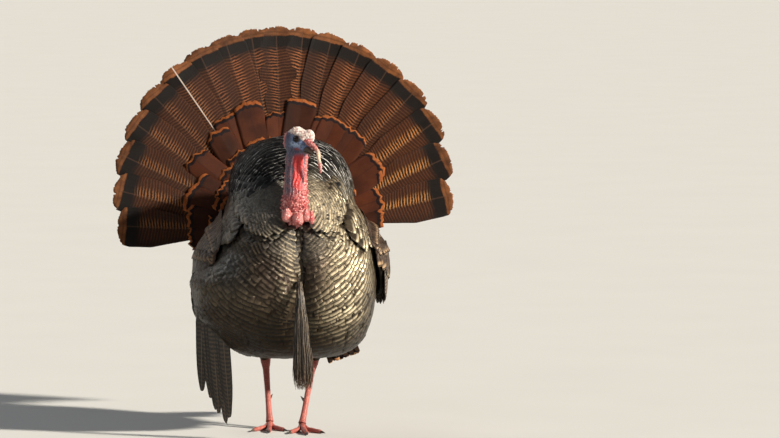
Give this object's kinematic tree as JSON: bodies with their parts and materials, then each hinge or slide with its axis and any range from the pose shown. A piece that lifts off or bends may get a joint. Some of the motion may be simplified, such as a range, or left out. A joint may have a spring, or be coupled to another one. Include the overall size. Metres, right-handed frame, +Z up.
{
  "type": "wild turkey",
  "caption": "Strutting male wild turkey standing with its tail raised in a fan, head turned and wings drooped, as a life-size still model.",
  "frame": {"origin": "on the floor under the middle of the bounding box, between the feet", "axes": "+Z up; the bird faces -Y; +X is its own left side"},
  "size_m": [0.7994, 0.6226, 0.9216],
  "materials": {
    "body_feathers": "overlapping bronze and olive-grey feathers with black edges and a metallic sheen",
    "wing_feathers": "smooth pinkish-brown coverts, bronze on the shoulder",
    "flight_feathers": "stiff vanes barred in black-brown and off-white",
    "tail_feathers": "chestnut vanes finely barred in black, with a black band and a cinnamon tip",
    "tail_coverts": "maroon-chestnut vanes with a thin black band and an orange-rust edge",
    "face_skin": "bare warty skin, white on the crown and blue round the eye",
    "red_skin": "bare folded skin with caruncles, red and pink",
    "beard_bristle": "coarse dark bristles",
    "leg_skin": "pink scaled skin",
    "horn": "dark horn, satin",
    "eye": "dark brown, wet gloss"
  },
  "bodies": {
    "root": {"beard": "beard_bristle", "bill_lower": "horn", "bill_upper": "horn", "caruncle_far_left": "red_skin", "caruncle_left": "red_skin", "caruncle_middle": "red_skin", "caruncle_right": "red_skin", "claw_hind_left": "horn", "claw_hind_right": "horn", "claw_inner_left": "horn", "claw_inner_right": "horn", "claw_middle_left": "horn", "claw_middle_right": "horn", "claw_outer_left": "horn", "claw_outer_right": "horn", "eye_left": "eye", "eye_right": "eye", "foot_left": "leg_skin", "foot_right": "leg_skin", "head": "face_skin", "neck": "red_skin", "primaries_left": "flight_feathers", "primaries_right": "flight_feathers", "shank_left": "leg_skin", "shank_right": "leg_skin", "snood": "red_skin", "spur_left": "horn", "spur_right": "horn", "tail_base": "body_feathers", "tail_feather_01": "tail_feathers", "tail_feather_02": "tail_feathers", "tail_feather_03": "tail_feathers", "tail_feather_04": "tail_feathers", "tail_feather_05": "tail_feathers", "tail_feather_06": "tail_feathers", "tail_feather_07": "tail_feathers", "tail_feather_08": "tail_feathers", "tail_feather_09": "tail_feathers", "tail_feather_10": "tail_feathers", "tail_feather_11": "tail_feathers", "tail_feather_12": "tail_feathers", "tail_feather_13": "tail_feathers", "tail_feather_14": "tail_feathers", "tail_feather_15": "tail_feathers", "tail_feather_16": "tail_feathers", "tail_feather_17": "tail_feathers", "tail_feather_18": "tail_feathers", "thigh_left": "body_feathers", "thigh_right": "body_feathers", "trunk": "body_feathers", "under_coverts": "tail_coverts", "upper_coverts_inner": "tail_coverts", "upper_coverts_outer": "tail_coverts", "wing_left": "wing_feathers", "wing_right": "wing_feathers"}
  },
  "joints": []
}
